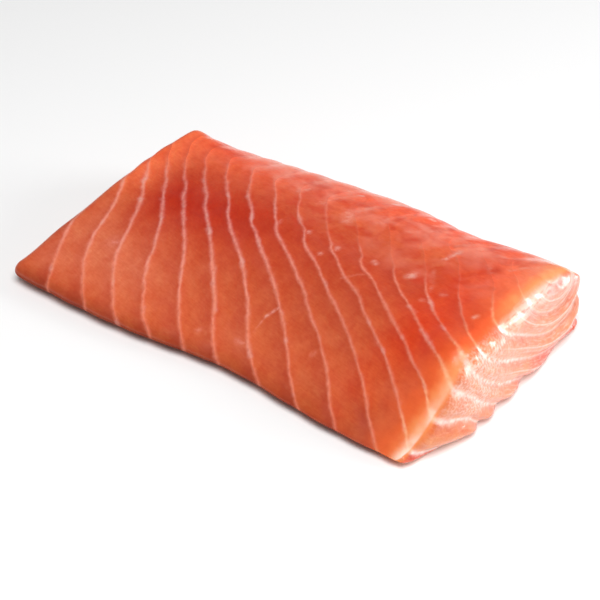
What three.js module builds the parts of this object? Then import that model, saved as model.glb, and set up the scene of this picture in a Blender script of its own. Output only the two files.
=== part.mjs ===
// A raw salmon fillet: one skinless piece from the middle of a side, cut through at both ends and
// lying on its skin side. Millimetres, +Z up. X runs along the fish, the thin belly edge faces -Y and
// the thick back edge faces +Y. The origin is under the middle of the piece, on what it lies on.

import * as THREE from 'three';
import { mergeVertices } from 'three/addons/utils/BufferGeometryUtils.js';

// Outline from above, before it is centred. Values in threes are at the left end, the middle and the
// right end, with a smooth curve between them.
const LEFT_CUT_X = -80.3;
const RIGHT_CUT_X = 75.4;
const LEFT_CUT_SLANT = 16.1;
const LEFT_CUT_HOLLOW = 1.0;
const RIGHT_CUT_SWELL = 10.0;
const RIGHT_CUT_SWELL_SHARPNESS = 6.1;
const RIGHT_CUT_HOLLOW = 1.6;
const RIGHT_CUT_LEAN = 0.06;
const RIGHT_CUT_LEAN_SHARPNESS = 3;
const BELLY_EDGE_Y = [-2.4, -3.1, -1.0];
const BELLY_HOLLOW = { depth: 4.7, x: 9.0, width: 31.0 };
const BACK_EDGE_Y = [87.6, 91.0, 88.1];
const BACK_DIP = { depth: 3.0, along: 0.75, width: 0.11 };

// Thickness across the piece: it climbs from the belly edge to a crest, which crosses the piece from
// the back on the left to the belly side on the right, and falls again to the back edge.
const ACROSS = 90.0;
const BELLY_THICKNESS = [7.5, 6.0, 4.0];
const BELLY_SLOPE = [0.24, 0.34, 0.62];
const CREST_ACROSS = [0.88, 0.56, 0.29];
const CREST_THICKNESS = [26.8, 27.4, 31.0];
const BACK_THICKNESS = [17.2, 20.8, 23.0];
const BACK_SLOPE = [-0.28, -0.43, -0.6];

// The underside is flat in its middle and a little hollow around it, so that the piece rests on its
// middle and on four places near its corners. It turns up along the belly edge and the back edge.
const BELLY_LIFT = { height: 2.0, across: 0.16 };
const BACK_LIFT = { height: 1.2, across: 0.1 };
const BASE_HOLLOW = { depth: 0.2, from: 0.3, to: 0.6 };
const REST_PLACE = { cellsFromEnd: 5, cellsFromSide: 7, reach: 12.0 };

// Rounding of the edges. The belly edge is round through its whole thickness, and the right cut is
// sharp at the belly edge, softest in its middle and sharp again at the back edge.
const LEFT_CUT_EDGE_RADIUS = 4.0;
const RIGHT_CUT_EDGE_RADIUS = [1.5, 6.0, 2.0];
const BELLY_EDGE_RADIUS = 3.6;
const BACK_EDGE_RADIUS = 8.5;
const HALF_LENGTH = 78.0;
const HALF_WIDTH = 45.0;
const TOP_ROUNDING = 0.31;
const BASE_ROUNDING = 0.15;
const BELLY_ROUND_ACROSS = 0.25;

// The white sheets between the muscle blocks. A sheet is named by where it meets the belly edge, and
// leans over to the left from there to the back edge. Near the right cut the sheets dive steeply.
const SHEET_LEAN = [1.18, 0.59, -0.88, 0.39];
const LEAN_EASING = 1.13;
const SHEET_DIP = { top: 0.95, fall: 0.28, deep: 0.21, depth: 30.0, farShare: 0.3 };
const NEAR_CUT = { fromX: 30.0, toX: 75.0 };
const SHEET_TURN = { slope: 0.85, y: 72.0, blend: 3.0, endX: 80.0, fade: 60.0 };
const SHEET_HOOK = { slope: 1.0, y: 70.0, blend: 1.5 };
const SHEET_KINK = { step: 0.8, y: 47.0, tilt: 0.9, width: 3.2, fromX: 40.0, toX: 75.0 };
const SHEET_SWAY = { leftReach: 2.3, reach: 2.9, period: 45.7, y: 25.8, fromX: -60.0, toX: -20.0 };
const LEFT_DRIFT = { share: 0.32, x: -14.6 };
const RIGHT_DRIFT = { share: 0.26, x: 10.0 };
const LEFT_SPREAD = { share: 0.037, x: -30.0 };
const SKIN_DEEP = 22.7;

// The blocks are even as far as one sheet, and get shorter to the right of it.
const EVEN_BLOCK = 15.2;
const LAST_EVEN = { sheet: 7, at: 26.3 };
const NEXT_BLOCK = 14.1;
const BLOCK_SHORTENING = 0.66;

// Each muscle block swells between its two sheets, more on the right cut, and most of all at its foot,
// where the height above the base says how near the foot is.
const SWELL = 0.5;
const CUT_SWELL = 1.0;
const FOOT_SWELL = { more: 0.9, from: 12.0, to: 2.0 };
const CUT_NORMAL_X = { from: 0.45, to: 0.85 };

// Faces along, across and through the piece.
const FACES = { along: 52, across: 30, through: 8 };
const CROWD_TO_EDGES = 0.5;

const FLESH_COLOUR = '#d95f40';
const FLESH_ROUGHNESS = 0.35;

function mix(a, b, t) {
  return a + (b - a) * t;
}

function clamp(t) {
  return Math.min(Math.max(t, 0), 1);
}

function ease(t) {
  const s = clamp(t);
  return s * s * (3 - 2 * s);
}

// Grows smoothly from 0 to 1 between two values.
function between(from, to, t) {
  return ease((t - from) / (to - from));
}

function bell(t) {
  return Math.exp(-t * t);
}

// The smooth curve through three values, at the left end, the middle and the right end.
function along([left, middle, right], u) {
  return left * (1 - u) * (1 - 2 * u) + middle * 4 * u * (1 - u) + right * u * (2 * u - 1);
}

// A curve from one height and slope to another, over a run in millimetres.
function climb(t, run, fromHeight, fromSlope, toHeight, toSlope) {
  const t2 = t * t;
  const t3 = t2 * t;
  return (2 * t3 - 3 * t2 + 1) * fromHeight + (t3 - 2 * t2 + t) * run * fromSlope
    + (3 * t2 - 2 * t3) * toHeight + (t3 - t2) * run * toSlope;
}

// x and y of a point: u goes from the left cut to the right cut, v from belly to back, and w from the
// underside to the top. The right cut bulges out below its top edge, by a share of its height.
function planPoint(u, v, w) {
  const leftX = LEFT_CUT_X + LEFT_CUT_SLANT * v + LEFT_CUT_HOLLOW * 4 * v * (1 - v);
  const swell = RIGHT_CUT_SWELL * (1 - (1 - v) ** RIGHT_CUT_SWELL_SHARPNESS);
  const hollowed = RIGHT_CUT_HOLLOW * 4 * v * (1 - v);
  const leant = RIGHT_CUT_LEAN * topHeight(u, v) * (1 - w ** RIGHT_CUT_LEAN_SHARPNESS);
  const rightX = RIGHT_CUT_X + swell - hollowed + leant;
  const edgeX = mix(LEFT_CUT_X, RIGHT_CUT_X, u);
  const hollow = BELLY_HOLLOW.depth * bell((edgeX - BELLY_HOLLOW.x) / BELLY_HOLLOW.width);
  const dip = BACK_DIP.depth * bell((u - BACK_DIP.along) / BACK_DIP.width);
  const bellyY = along(BELLY_EDGE_Y, u) + hollow;
  const backY = along(BACK_EDGE_Y, u) - dip;
  return [mix(leftX, rightX, u), mix(bellyY, backY, v)];
}

function topHeight(u, v) {
  const crestAcross = along(CREST_ACROSS, u);
  const crest = along(CREST_THICKNESS, u);
  if (v < crestAcross) {
    const run = crestAcross * ACROSS;
    return climb(clamp(v / crestAcross), run, along(BELLY_THICKNESS, u), along(BELLY_SLOPE, u), crest, 0);
  }
  const run = (1 - crestAcross) * ACROSS;
  const t = clamp((v - crestAcross) / (1 - crestAcross));
  return climb(t, run, crest, 0, along(BACK_THICKNESS, u), along(BACK_SLOPE, u));
}

// Rows of faces crowd a little towards the edges of the piece.
function crowded(t) {
  return mix(t, Math.sin(t * Math.PI / 2), CROWD_TO_EDGES);
}

function baseHeight(u, v) {
  const belly = BELLY_LIFT.height * clamp(1 - v / BELLY_LIFT.across) ** 2;
  const back = BACK_LIFT.height * clamp(1 - (1 - v) / BACK_LIFT.across) ** 2;
  const a = Math.abs(2 * u - 1);
  const b = Math.abs(2 * v - 1);
  const restA = crowded(1 - 2 * REST_PLACE.cellsFromEnd / FACES.along);
  const restB = crowded(1 - 2 * REST_PLACE.cellsFromSide / FACES.across);
  const toRest = Math.hypot((a - restA) * HALF_LENGTH, (b - restB) * HALF_WIDTH);
  const around = between(BASE_HOLLOW.from, BASE_HOLLOW.to, Math.max(a, b));
  const hollow = BASE_HOLLOW.depth * around * clamp(toRest / REST_PLACE.reach);
  return belly + back + hollow;
}

// Rounds the edges of a cube from -1 to 1, by its own share of the cube along each of its axes.
function roundedCube(a, b, c) {
  const rightRadius = along(RIGHT_CUT_EDGE_RADIUS, (b + 1) / 2);
  const shareAlong = (a < 0 ? LEFT_CUT_EDGE_RADIUS : rightRadius) / HALF_LENGTH;
  const shareAcross = (b < 0 ? BELLY_EDGE_RADIUS : BACK_EDGE_RADIUS) / HALF_WIDTH;
  const flatRounding = c > 0 ? TOP_ROUNDING : BASE_ROUNDING;
  const shareUp = mix(1, flatRounding, ease((b + 1) / 2 / BELLY_ROUND_ACROSS));
  const shares = [shareAlong, shareAcross, shareUp];
  const inner = [a, b, c].map((t, i) => Math.min(Math.max(t, shares[i] - 1), 1 - shares[i]));
  const outer = [a, b, c].map((t, i) => (t - inner[i]) / shares[i]);
  const reach = Math.max(Math.hypot(...outer), 1e-9);
  return inner.map((t, i) => t + shares[i] * outer[i] / reach);
}

// How far a sheet has bent aside at y, with a bend that starts softly at its own y.
function bentAfter(bend, y) {
  return bend.slope * bend.blend * Math.log1p(Math.exp((y - bend.y) / bend.blend));
}

// Where the sheet through a point meets the belly edge, for a point that lies deep below the top.
function sheetAt(x, y, deep) {
  const X = x / 100;
  const Y = y / 100;
  const [lean, leanX, leanXX, leanXXX] = SHEET_LEAN;
  const slope = lean + leanX * X + leanXX * X * X + leanXXX * X ** 3 - LEAN_EASING * X * Y * Y;
  const nearCut = between(NEAR_CUT.fromX, NEAR_CUT.toX, x);
  const steep = SHEET_DIP.top - SHEET_DIP.fall * Y + SHEET_DIP.deep * deep / SHEET_DIP.depth;
  const dip = steep * mix(SHEET_DIP.farShare, 1, nearCut);
  const turnShare = clamp((SHEET_TURN.endX - x) / SHEET_TURN.fade);
  const turn = turnShare * (bentAfter(SHEET_TURN, y) + bentAfter(SHEET_HOOK, y));
  const shallow = Math.exp(-deep * nearCut / SKIN_DEEP);
  const kinkT = (y - SHEET_KINK.y + SHEET_KINK.tilt * X) / SHEET_KINK.width;
  const kinkShare = 1 - between(SHEET_KINK.fromX, SHEET_KINK.toX, x);
  const kink = SHEET_KINK.step * Math.sqrt(2 * Math.E) * kinkT * bell(kinkT) * kinkShare * shallow;
  const leftDrift = LEFT_DRIFT.share * Math.max(LEFT_DRIFT.x - x, 0);
  const rightDrift = RIGHT_DRIFT.share * Math.max(x - RIGHT_DRIFT.x, 0);
  const wave = Math.cos(2 * Math.PI * (y - SHEET_SWAY.y - leftDrift + rightDrift) / SHEET_SWAY.period);
  const swayShare = between(SHEET_SWAY.fromX, SHEET_SWAY.toX, x);
  const sway = mix(SHEET_SWAY.leftReach, SHEET_SWAY.reach, swayShare) * wave * shallow;
  const spread = LEFT_SPREAD.share * Math.max(LEFT_SPREAD.x - x, 0);
  return x + slope * y - dip * deep - turn - kink - sway + spread;
}

// Counts the blocks up to a sheet, so that it is a whole number on each white sheet.
function blockCount(at) {
  const past = at - LAST_EVEN.at;
  if (past < 0) {
    return LAST_EVEN.sheet + past / EVEN_BLOCK;
  }
  const root = Math.sqrt(Math.max(NEXT_BLOCK ** 2 - 2 * BLOCK_SHORTENING * past, 1));
  return LAST_EVEN.sheet + (NEXT_BLOCK - root) / BLOCK_SHORTENING;
}

// The share of its swell that a block has: nothing on a sheet, and all halfway between two sheets.
function swellShare(count) {
  return Math.sin(Math.PI * count) ** 2;
}

function filletGeometry() {
  const box = new THREE.BoxGeometry(2, 2, 2, FACES.along, FACES.across, FACES.through);
  box.deleteAttribute('uv');
  box.deleteAttribute('normal');
  const geometry = mergeVertices(box);
  const position = geometry.attributes.position;
  const shares = [];
  for (let i = 0; i < position.count; i += 1) {
    const cube = [crowded(position.getX(i)), crowded(position.getY(i)), position.getZ(i)];
    const [u, v, w] = roundedCube(...cube).map((t) => (t + 1) / 2);
    const [x, y] = planPoint(u, v, w);
    const top = topHeight(u, v);
    const z = mix(baseHeight(u, v), top, w);
    position.setXYZ(i, x, y, z);
    shares.push(swellShare(blockCount(sheetAt(x, y, Math.max(top - z, 0)))));
  }
  geometry.computeVertexNormals();
  const normal = geometry.attributes.normal;
  for (let i = 0; i < position.count; i += 1) {
    const footShare = between(FOOT_SWELL.from, FOOT_SWELL.to, position.getZ(i));
    const cutShare = between(CUT_NORMAL_X.from, CUT_NORMAL_X.to, normal.getX(i));
    const out = shares[i] * mix(SWELL, CUT_SWELL + FOOT_SWELL.more * footShare, cutShare);
    const x = position.getX(i) + normal.getX(i) * out;
    const y = position.getY(i) + normal.getY(i) * out;
    const z = position.getZ(i) + Math.max(normal.getZ(i), 0) * out;
    position.setXYZ(i, x, y, z);
  }
  geometry.computeBoundingBox();
  const { min, max } = geometry.boundingBox;
  geometry.translate(-(min.x + max.x) / 2, -(min.y + max.y) / 2, -min.z);
  geometry.computeVertexNormals();
  return geometry;
}

const flesh = new THREE.MeshStandardMaterial({
  color: FLESH_COLOUR,
  roughness: FLESH_ROUGHNESS,
  metalness: 0,
});

const fillet = new THREE.Mesh(filletGeometry(), flesh);
fillet.name = 'fillet';

const group = new THREE.Group();
group.add(fillet);

export default group;
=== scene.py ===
"""A raw salmon fillet: one skinless piece from the middle of a side, lying on its skin side."""

import math

import bpy
import numpy as np
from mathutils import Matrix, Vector


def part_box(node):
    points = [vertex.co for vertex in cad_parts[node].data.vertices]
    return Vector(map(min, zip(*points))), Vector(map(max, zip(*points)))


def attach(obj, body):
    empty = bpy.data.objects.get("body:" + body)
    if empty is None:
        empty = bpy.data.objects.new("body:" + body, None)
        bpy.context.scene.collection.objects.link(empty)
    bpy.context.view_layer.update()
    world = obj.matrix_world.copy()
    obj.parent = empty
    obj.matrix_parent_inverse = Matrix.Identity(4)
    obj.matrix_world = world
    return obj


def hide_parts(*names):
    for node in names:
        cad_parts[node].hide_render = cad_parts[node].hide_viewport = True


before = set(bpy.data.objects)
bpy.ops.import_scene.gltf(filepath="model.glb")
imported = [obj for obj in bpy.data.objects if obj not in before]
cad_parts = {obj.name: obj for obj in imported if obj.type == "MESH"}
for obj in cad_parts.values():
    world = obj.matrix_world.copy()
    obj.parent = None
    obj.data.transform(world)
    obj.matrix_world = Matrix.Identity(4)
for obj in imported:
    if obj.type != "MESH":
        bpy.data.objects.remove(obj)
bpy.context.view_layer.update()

# ---------------------------------------------------------------------------------------------------
# The cut piece of flesh. It is the thick back muscle of a salmon's side with part of the belly flap,
# skinned, laid on its skin side and cut through at both ends with a long knife, so it has a thin round
# belly edge, a thick back edge and two flat cut faces. Sizes are in millimetres, x along the fish.
# ---------------------------------------------------------------------------------------------------

MM = 0.001

# Outline from above. Values in threes are at the left end, the middle and the right end.
LEFT_CUT_X = -80.3
RIGHT_CUT_X = 75.4
LEFT_CUT_SLANT = 16.1
LEFT_CUT_HOLLOW = 1.0
RIGHT_CUT_SWELL = 10.0
RIGHT_CUT_SWELL_SHARPNESS = 6.1
RIGHT_CUT_HOLLOW = 1.6
RIGHT_CUT_LEAN = 0.06
RIGHT_CUT_LEAN_SHARPNESS = 3
BELLY_EDGE_Y = (-2.4, -3.1, -1.0)
BELLY_HOLLOW_DEPTH = 4.7
BELLY_HOLLOW_X = 9.0
BELLY_HOLLOW_WIDTH = 31.0
BACK_EDGE_Y = (87.6, 91.0, 88.1)
BACK_DIP_DEPTH = 3.0
BACK_DIP_ALONG = 0.75
BACK_DIP_WIDTH = 0.11

# Thickness from the belly edge over the crest to the back edge.
ACROSS = 90.0
BELLY_THICKNESS = (7.5, 6.0, 4.0)
BELLY_SLOPE = (0.24, 0.34, 0.62)
CREST_ACROSS = (0.88, 0.56, 0.29)
CREST_THICKNESS = (26.8, 27.4, 31.0)
BACK_THICKNESS = (17.2, 20.8, 23.0)
BACK_SLOPE = (-0.28, -0.43, -0.6)
BELLY_LIFT = 2.0
BELLY_LIFT_ACROSS = 0.16
BACK_LIFT = 1.2
BACK_LIFT_ACROSS = 0.1

# Rounding of the edges. The right cut's edge has its radius at the belly edge, the middle and the back
# edge. The rounding takes a share of the thickness, and more of it on the shoulder of the right cut.
LEFT_CUT_EDGE_RADIUS = 4.0
RIGHT_CUT_EDGE_RADIUS = (1.5, 7.5, 2.0)
BELLY_EDGE_RADIUS = 3.6
BACK_EDGE_RADIUS = 8.5
HALF_LENGTH = 78.0
HALF_WIDTH = 45.0
TOP_ROUNDING = 0.31
SHOULDER_ROUNDING = 0.5
SHOULDER_FROM = 0.6
SHOULDER_AT = 0.15
SHOULDER_WIDTH = 0.6
BASE_ROUNDING = 0.15
BELLY_ROUND_ACROSS = 0.25

# Rows of faces along, across and through the piece, crowded a little towards its edges.
CELLS = (240, 140, 34)
CROWD_TO_EDGES = 0.5


def mix(a, b, t):
    return a + (b - a) * t


def ease(t):
    t = np.clip(t, 0, 1)
    return t * t * (3 - 2 * t)


def bell(t):
    return np.exp(-t * t)


def between(start, end, t):
    """Grows smoothly from 0 at the start to 1 at the end, which may lie below the start."""
    return ease((t - start) / (end - start))


def along(three, u):
    """The smooth curve through three values, at the left end, the middle and the right end."""
    left, middle, right = three
    return left * (1 - u) * (1 - 2 * u) + middle * 4 * u * (1 - u) + right * u * (2 * u - 1)


def climb(t, run, from_height, from_slope, to_height, to_slope):
    """A curve from one height and slope to another, over a run."""
    t2 = t * t
    t3 = t2 * t
    return ((2 * t3 - 3 * t2 + 1) * from_height + (t3 - 2 * t2 + t) * run * from_slope
            + (3 * t2 - 2 * t3) * to_height + (t3 - t2) * run * to_slope)


def plan_point(u, v, w):
    """x and y: u goes from left cut to right cut, v from belly to back and w from underside to top."""
    left_x = LEFT_CUT_X + LEFT_CUT_SLANT * v + LEFT_CUT_HOLLOW * 4 * v * (1 - v)
    swell = RIGHT_CUT_SWELL * (1 - (1 - v) ** RIGHT_CUT_SWELL_SHARPNESS)
    hollowed = RIGHT_CUT_HOLLOW * 4 * v * (1 - v)
    leant = RIGHT_CUT_LEAN * top_height(u, v) * (1 - w ** RIGHT_CUT_LEAN_SHARPNESS)
    right_x = RIGHT_CUT_X + swell - hollowed + leant
    edge_x = mix(LEFT_CUT_X, RIGHT_CUT_X, u)
    hollow = BELLY_HOLLOW_DEPTH * bell((edge_x - BELLY_HOLLOW_X) / BELLY_HOLLOW_WIDTH)
    dip = BACK_DIP_DEPTH * bell((u - BACK_DIP_ALONG) / BACK_DIP_WIDTH)
    belly_y = along(BELLY_EDGE_Y, u) + hollow
    back_y = along(BACK_EDGE_Y, u) - dip
    return mix(left_x, right_x, u), mix(belly_y, back_y, v)


def top_height(u, v):
    crest_across = along(CREST_ACROSS, u)
    crest = along(CREST_THICKNESS, u)
    rise = climb(np.clip(v / crest_across, 0, 1), crest_across * ACROSS,
                 along(BELLY_THICKNESS, u), along(BELLY_SLOPE, u), crest, 0)
    past = np.clip((v - crest_across) / (1 - crest_across), 0, 1)
    fall = climb(past, (1 - crest_across) * ACROSS, crest, 0,
                 along(BACK_THICKNESS, u), along(BACK_SLOPE, u))
    return np.where(v < crest_across, rise, fall)


def base_height(v):
    belly = BELLY_LIFT * np.clip(1 - v / BELLY_LIFT_ACROSS, 0, 1) ** 2
    back = BACK_LIFT * np.clip(1 - (1 - v) / BACK_LIFT_ACROSS, 0, 1) ** 2
    return belly + back


def box_grid(cells):
    """Points and outward faces of a box from -1 to 1, with that many cells along each side."""
    steps = [n + 1 for n in cells]
    lattice = np.arange(math.prod(steps)).reshape(steps)
    quads = []
    for axis in range(3):
        for end in (0, -1):
            side = np.moveaxis(lattice, axis, 0)[end]
            corners = [side[:-1, :-1], side[1:, :-1], side[1:, 1:], side[:-1, 1:]]
            if (end == 0) != (axis == 1):
                corners.reverse()
            quads.append(np.stack(corners, -1).reshape(-1, 4))
    used, faces = np.unique(np.concatenate(quads), return_inverse=True)
    places = np.stack(np.unravel_index(used, steps), -1) / cells * 2 - 1
    return places, faces.reshape(-1, 4)


def rounded_cube(cube):
    """Rounds the edges of the box, by its own share of the box along each axis."""
    a, b, c = cube.T
    right_radius = along(RIGHT_CUT_EDGE_RADIUS, (b + 1) / 2)
    share_along = np.where(a < 0, LEFT_CUT_EDGE_RADIUS, right_radius) / HALF_LENGTH
    share_across = np.where(b < 0, BELLY_EDGE_RADIUS, BACK_EDGE_RADIUS) / HALF_WIDTH
    shoulder = between(SHOULDER_FROM, 1.0, a) * bell((b - SHOULDER_AT) / SHOULDER_WIDTH)
    top_rounding = mix(TOP_ROUNDING, SHOULDER_ROUNDING, shoulder)
    flat_rounding = np.where(c > 0, top_rounding, BASE_ROUNDING)
    share_up = mix(1, flat_rounding, ease((b + 1) / 2 / BELLY_ROUND_ACROSS))
    shares = np.stack([share_along, share_across, share_up], -1)
    inner = np.clip(cube, shares - 1, 1 - shares)
    outer = (cube - inner) / shares
    reach = np.maximum(np.linalg.norm(outer, axis=1, keepdims=True), 1e-9)
    return inner + shares * outer / reach


cube, faces = box_grid(CELLS)
cube[:, :2] = mix(cube[:, :2], np.sin(cube[:, :2] * math.pi / 2), CROWD_TO_EDGES)
u, v, w = (rounded_cube(cube).T + 1) / 2
x, y = plan_point(u, v, w)
top = top_height(u, v)
z = mix(base_height(v), top, w)
points = np.stack([x, y, z], -1)


def mesh_of(name, points, faces):
    mesh = bpy.data.meshes.new(name)
    mesh.from_pydata(points.tolist(), [], faces.tolist())
    mesh.update()
    return mesh


def normals_of(mesh):
    found = np.empty(len(mesh.vertices) * 3, np.float32)
    mesh.vertices.foreach_get("normal", found)
    return found.reshape(-1, 3)


smooth_cut = mesh_of("smooth_cut", points * MM, faces)
normals = normals_of(smooth_cut)

# ---------------------------------------------------------------------------------------------------
# The muscle blocks. White sheets of connective tissue divide the flesh into blocks. They are nested
# like cones along the fish, so a cut shows them as lines that lean to the left towards the back, run
# on over the cut faces, and step aside where the upper and the lower half of the side meet.
# ---------------------------------------------------------------------------------------------------

# How far a sheet leans to the left for each millimetre towards the back: a polynomial of the place
# along the fish, in units of 100 mm, with an easing towards the back.
SHEET_LEAN = (1.18, 0.59, -0.88, 0.39)
LEAN_EASING = 1.13

# How far it slants to the right for each millimetre of depth near the right cut, and the share of
# that far away from the cut.
DIP_TOP = 0.95
DIP_FALL = 0.28
DIP_DEEP = 0.21
DIP_DEPTH = 30.0
FAR_DIP_SHARE = 0.3
NEAR_CUT_FROM_X = 30.0
NEAR_CUT_TO_X = 75.0

# Near the back edge it bends to the right in two steps, less so towards the right cut.
TURN_SLOPE = 0.85
TURN_Y = 72.0
TURN_BLEND = 3.0
HOOK_SLOPE = 1.0
HOOK_Y = 70.0
HOOK_BLEND = 1.5
TURN_END_X = 80.0
TURN_FADE = 60.0

# It steps aside in a kink where the two halves of the side meet, and sways in slow waves that drift
# along the fish. Near the right cut both fade over this depth below the top.
KINK_STEP = 0.8
KINK_Y = 47.0
KINK_TILT = 0.9
KINK_WIDTH = 3.2
KINK_FROM_X = 10.0
KINK_TO_X = 60.0
SWAY_REACH = (2.3, 2.9)
SWAY_PERIOD = 45.7
SWAY_Y = 25.8
SWAY_DRIFT = (0.32, 0.26)
SWAY_DRIFT_X = (-14.6, 10.0)
SWAY_FROM_X = -60.0
SWAY_TO_X = -20.0
SWAY_DEPTH = 22.7

# The blocks are of even length up to one sheet, a little longer towards the left cut, and each one
# after that sheet is shorter than the one before it.
LEFT_SPREAD = 0.037
LEFT_SPREAD_X = -30.0
EVEN_BLOCK = 15.2
LAST_EVEN_SHEET = 7
LAST_EVEN_AT = 26.3
NEXT_BLOCK = 14.1
BLOCK_SHORTENING = 0.66


def softly_past(y, start, blend):
    """How far y is past a start, with a soft bend there instead of a corner."""
    return blend * np.logaddexp(0, (y - start) / blend)


def sheet_at(x, y, deep):
    """Where the sheet through a point meets the belly edge, for a point that deep below the top."""
    lean, lean_x, lean_xx, lean_xxx = SHEET_LEAN
    far = x / 100
    back = y / 100
    slope = lean + lean_x * far + lean_xx * far ** 2 + lean_xxx * far ** 3 - LEAN_EASING * far * back ** 2
    near_cut = between(NEAR_CUT_FROM_X, NEAR_CUT_TO_X, x)
    steep = DIP_TOP - DIP_FALL * back + DIP_DEEP * deep / DIP_DEPTH
    dip = steep * mix(FAR_DIP_SHARE, 1, near_cut)
    turn = TURN_SLOPE * softly_past(y, TURN_Y, TURN_BLEND) + HOOK_SLOPE * softly_past(y, HOOK_Y, HOOK_BLEND)
    turn *= np.clip((TURN_END_X - x) / TURN_FADE, 0, 1)
    shallow = np.exp(-deep * near_cut / SWAY_DEPTH)
    kink_t = (y - KINK_Y + KINK_TILT * far) / KINK_WIDTH
    kink_share = 1 - between(KINK_FROM_X, KINK_TO_X, x)
    kink = KINK_STEP * math.sqrt(2 * math.e) * kink_t * bell(kink_t) * kink_share * shallow
    left_drift = SWAY_DRIFT[0] * np.maximum(SWAY_DRIFT_X[0] - x, 0)
    right_drift = SWAY_DRIFT[1] * np.maximum(x - SWAY_DRIFT_X[1], 0)
    wave = np.cos(2 * math.pi * (y - SWAY_Y - left_drift + right_drift) / SWAY_PERIOD)
    sway = mix(*SWAY_REACH, between(SWAY_FROM_X, SWAY_TO_X, x)) * wave * shallow
    spread = LEFT_SPREAD * np.maximum(LEFT_SPREAD_X - x, 0)
    return x + slope * y - dip * deep - turn - kink - sway + spread


def block_count(at):
    """Counts the blocks up to a sheet, so that it is a whole number on each white sheet."""
    past = at - LAST_EVEN_AT
    root = np.sqrt(np.maximum(NEXT_BLOCK ** 2 - 2 * BLOCK_SHORTENING * past, 1))
    return LAST_EVEN_SHEET + np.where(past < 0, past / EVEN_BLOCK, (NEXT_BLOCK - root) / BLOCK_SHORTENING)


def count_at(x, y, z):
    return block_count(sheet_at(x, y, np.maximum(top - z, 0)))


# How wide the blocks are as measured over the surface, from how fast the count changes there.
STEP = 0.5
WIDEST_BLOCK = 50.0
count = count_at(x, y, z)
change = np.stack([count_at(x + STEP, y, z), count_at(x, y + STEP, z), count_at(x, y, z + STEP)], -1)
change = (change - count[:, None]) / STEP
change -= normals * np.sum(change * normals, axis=1, keepdims=True)
block_mm = 1 / np.maximum(np.linalg.norm(change, axis=1), 1 / WIDEST_BLOCK)

# Where a point lies: how deep below the top, how far from the right cut, on a cut face or outside, and
# low on the belly side, where the surface turns under into the shade and hardly shines. From here on u
# and v are shares of the piece's length and width, and x, y, z, deep and to_cut are millimetres.
deep = np.maximum(top - z, 0)
to_cut = (1 - u) * (RIGHT_CUT_X - LEFT_CUT_X)
right_half = u > 0.5
cut_face = between(0.45, 0.85, np.abs(normals[:, 0]))
right_cut = cut_face * right_half
outer = 1 - cut_face
belly_foot = between(0.1, 0.0, v) * outer
dull_and_shaded = between(0.45, -0.1, normals[:, 2]) * between(0.14, 0.05, v) * outer

# The sheets show best in the belly half. They fade at the left crest and where the back half gets
# thick, and near the back edge they bend aside and spread into soft pale patches.
HOOK_ZONE = (66.0, 74.0)
hook = between(*HOOK_ZONE, y) * outer
fading = between(0.48, 0.6, v) * between(0.4, 0.58, u) * between(4, 16, to_cut) * outer
crest_end = between(0.55, 0.68, v - 0.9 * u) * between(0.34, 0.2, u) * outer
sheet_shows = (1 - 0.5 * between(0.5, 0.7, v)) * (1 - 0.8 * fading) * (1 - 0.9 * crest_end)
sheet_shows *= 1 - 0.45 * between(30, 10, to_cut) * between(0.2, 0.35, v) * outer
sheet_shows *= (1 - 0.3 * belly_foot) * (1 - 0.8 * between(0.88, 0.97, v) * outer)

# Half the thickness of a sheet as the knife left it, in millimetres. Over the crest it is thinner, and
# in a hook it spreads.
LEFT_SHEET_HALF = 0.56
RIGHT_SHEET_HALF = 0.44
CUT_SHEET_HALF = 0.42
CREST_SHARE = 0.72
HOOK_SPREAD = 2.2
sheet_half = mix(LEFT_SHEET_HALF, RIGHT_SHEET_HALF, between(0.45, 0.75, u)) + HOOK_SPREAD * hook
sheet_half *= mix(1.0, CREST_SHARE, between(0.35, 0.6, v) * between(0.2, 0.4, u) * (1 - hook))
sheet_half = mix(sheet_half, CUT_SHEET_HALF, cut_face)

# The wet rim where the top meets the right cut, by how many degrees the surface there looks up. Its pale
# colour is partly torn tissue and smeared fat and partly painted highlight, where the rounded edge faces the
# window. Near the belly edge it is white, with a sharp edge towards the cut, and whitest where a sheet
# crosses it. Further back it is combed into strokes, and then smeared along the shoulder.
RIM_REACH = 5.0
RIM_DEGREES = (34.0, 44.0)
COMB_DEGREES = 20.0
COMB_SPREAD = 13.0
COMB_FOOT = 6.0
SMEAR_DEGREES = (30.0, 38.0)
SMEAR_SPREAD = 15.0
looks_up = np.degrees(np.arctan2(normals[:, 2], normals[:, 0]))
near_sheet = bell((count - np.round(count)) / 0.16)
rim = between(*RIM_DEGREES, looks_up) * between(RIM_REACH, 0, to_cut) ** 2 * between(0.24, 0.12, v)
rim *= mix(mix(0.9, 0.55, between(0.0, 0.1, v)), 0.85, near_sheet) * right_half
comb = bell((looks_up - COMB_DEGREES) / COMB_SPREAD) * between(0.16, 0.26, v) * between(0.66, 0.46, v)
comb *= right_half * (z > COMB_FOOT)
smear = bell((looks_up - mix(*SMEAR_DEGREES, v)) / SMEAR_SPREAD) * between(0.42, 0.55, v)
smear *= between(0.88, 0.74, v) * right_half

# The film of water is thin where the shoulder runs out towards the belly edge.
THIN_FILM_DEGREES = (25.0, 34.0)
THIN_FILM_REACH = (12.0, 7.0)
thin_film = between(*THIN_FILM_DEGREES, looks_up) * between(*THIN_FILM_REACH, to_cut) * right_half
thin_film *= between(0.33, 0.25, v)

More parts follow.
